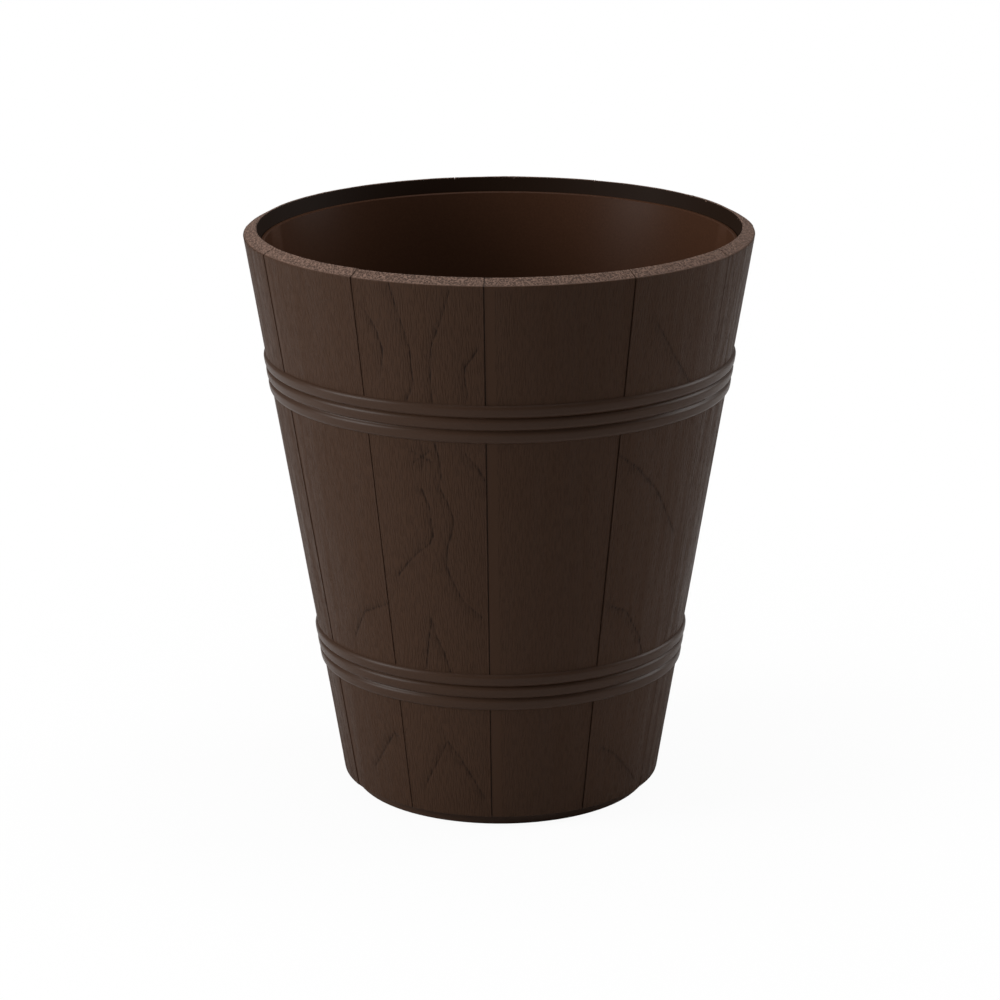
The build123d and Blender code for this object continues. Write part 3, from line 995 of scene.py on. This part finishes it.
class PLANTER_OT_plugs(bpy.types.Operator):
    """Builds the four rubber drain plugs."""

    bl_idname = "planter.plugs"
    bl_label = "Drain plugs"

    def execute(self, context):
        base = context.scene.planter_colours.rubber
        # Rubber is nearly matt, with a slight bloom
        rubber = smooth_plastic(
            "moulded_rubber", base, roughness=0.75, grit_size=0.4, grit_height=0.02, specular=0.3
        )
        for number in range(1, 5):
            piece = node_copy(f"drain_plug_{number}", f"rubber_plug_{number}")
            piece.data.materials.append(rubber)
            place_piece(piece, f"plug_{number}", f"drain_plug_{number}")
        return {"FINISHED"}


def softbox(name, side, elevation, distance, size, watts):
    """A square area light, at an angle from the front, aimed at the tub's middle."""
    light = bpy.data.lights.new(name, "AREA")
    light.shape = "SQUARE"
    light.size = size
    light.energy = watts
    lamp = bpy.data.objects.new(name, light)
    bpy.context.scene.collection.objects.link(lamp)
    aim = Vector(LIGHT_AIM)
    level = distance * math.cos(math.radians(elevation))
    place = aim + Vector(
        (
            level * math.sin(math.radians(side)),
            -level * math.cos(math.radians(side)),
            distance * math.sin(math.radians(elevation)),
        )
    )
    turn = (aim - place).to_track_quat("-Z", "Y").to_matrix().to_4x4()
    lamp.matrix_world = Matrix.Translation(place) @ turn


def make_floor(stage):
    """A plain pale floor that keeps the tub's shadow near it and is white to the camera further out."""
    mesh = bpy.data.meshes.new("floor")
    corners = [(FLOOR_HALF * x, FLOOR_HALF * y, -FLOOR_DROP) for x, y in ((-1, -1), (1, -1), (1, 1), (-1, 1))]
    mesh.from_pydata(corners, [], [(0, 1, 2, 3)])
    floor = link_object("floor", mesh)
    material, tree = new_material("matt_white_floor")
    rays = add(tree, "ShaderNodeLightPath").outputs
    place = add(tree, "ShaderNodeTexCoord").outputs["Object"]
    distance = add(tree, "ShaderNodeVectorMath", {0: place}, operation="LENGTH").outputs["Value"]
    kept = less(tree, 1.0, between(tree, distance, *SHADOW_FADE, stage.shadow_share, 0.0))
    white = add(tree, "ShaderNodeEmission", {0: (1, 1, 1, 1), 1: 1.0}).outputs[0]
    matt = add(tree, "ShaderNodeBsdfDiffuse", {0: opaque((FLOOR_GREY,) * 3)}).outputs[0]
    seen = product(tree, rays["Is Camera Ray"], kept)
    both = add(tree, "ShaderNodeMixShader", {0: seen, 1: matt, 2: white}).outputs[0]
    add(tree, "ShaderNodeOutputMaterial", {0: both})
    mesh.materials.append(material)


def make_world(stage):
    """White where the camera sees the background, also through something clear, and else a low even light."""
    world = bpy.data.worlds.new("white_surround")
    world.use_nodes = True
    tree = world.node_tree
    tree.nodes.clear()
    rays = add(tree, "ShaderNodeLightPath").outputs
    seen = calculate(tree, "MAXIMUM", rays["Is Camera Ray"], rays["Is Transmission Ray"])
    level = between(tree, seen, 0.0, 1.0, stage.surround, 1.0)
    background = add(tree, "ShaderNodeBackground", {0: (1, 1, 1, 1), 1: level}).outputs[0]
    add(tree, "ShaderNodeOutputWorld", {0: background})
    bpy.context.scene.world = world


class PLANTER_OT_stage(bpy.types.Operator):
    """Sets up the camera, the lights, the floor and the white background."""

    bl_idname = "planter.stage"
    bl_label = "Stage"

    def execute(self, context):
        scene = context.scene
        stage = scene.planter_stage
        lens = bpy.data.cameras.new("camera")
        lens.lens = CAMERA_LENS
        lens.shift_x, lens.shift_y = CAMERA_SHIFT
        camera = bpy.data.objects.new("camera", lens)
        scene.collection.objects.link(camera)
        tilt = Matrix.Rotation(math.radians(CAMERA_TILT), 4, "X")
        roll = Matrix.Rotation(math.radians(CAMERA_ROLL), 4, "Z")
        camera.matrix_world = Matrix.Translation(CAMERA_PLACE) @ tilt @ roll
        scene.camera = camera
        scene.view_settings.view_transform = "Standard"
        for name, place in SOFTBOXES.items():
            softbox(f"softbox_{name}", *place, getattr(stage, f"{name}_power"))
        make_floor(stage)
        make_world(stage)
        return {"FINISHED"}


class PLANTER_PT_panel(bpy.types.Panel):
    """Lists the planter's settings and the operators that build it."""

    bl_idname = "PLANTER_PT_panel"
    bl_label = "Planter"
    bl_space_type = "VIEW_3D"
    bl_region_type = "UI"
    bl_category = "Planter"

    def draw(self, context):
        for group in (
            context.scene.planter_sizes,
            context.scene.planter_colours,
            context.scene.planter_stage,
        ):
            box = self.layout.box()
            for name in group.__annotations__:
                box.prop(group, name)
        for operator in OPERATORS:
            self.layout.operator(operator.bl_idname)


OPERATORS = (
    PLANTER_OT_staves,
    PLANTER_OT_core,
    PLANTER_OT_hoops,
    PLANTER_OT_liner,
    PLANTER_OT_grid,
    PLANTER_OT_plugs,
    PLANTER_OT_stage,
)
SETTINGS = {
    "planter_sizes": PlanterSizes,
    "planter_colours": PlanterColours,
    "planter_stage": PlanterStage,
}


def register():
    """Registers the classes and their settings."""
    for item in (*SETTINGS.values(), *OPERATORS, PLANTER_PT_panel):
        bpy.utils.register_class(item)
    for name, group in SETTINGS.items():
        setattr(bpy.types.Scene, name, PointerProperty(type=group))


def unregister():
    """Takes them out again."""
    for name in SETTINGS:
        delattr(bpy.types.Scene, name)
    for item in (PLANTER_PT_panel, *reversed(OPERATORS), *SETTINGS.values()):
        bpy.utils.unregister_class(item)


def main():
    """Builds every piece and the stage."""
    register()
    bpy.ops.planter.staves()
    bpy.ops.planter.core()
    bpy.ops.planter.hoops()
    bpy.ops.planter.liner()
    bpy.ops.planter.grid()
    bpy.ops.planter.plugs()
    bpy.ops.planter.stage()
    bpy.context.view_layer.update()


if __name__ == "__main__":
    main()
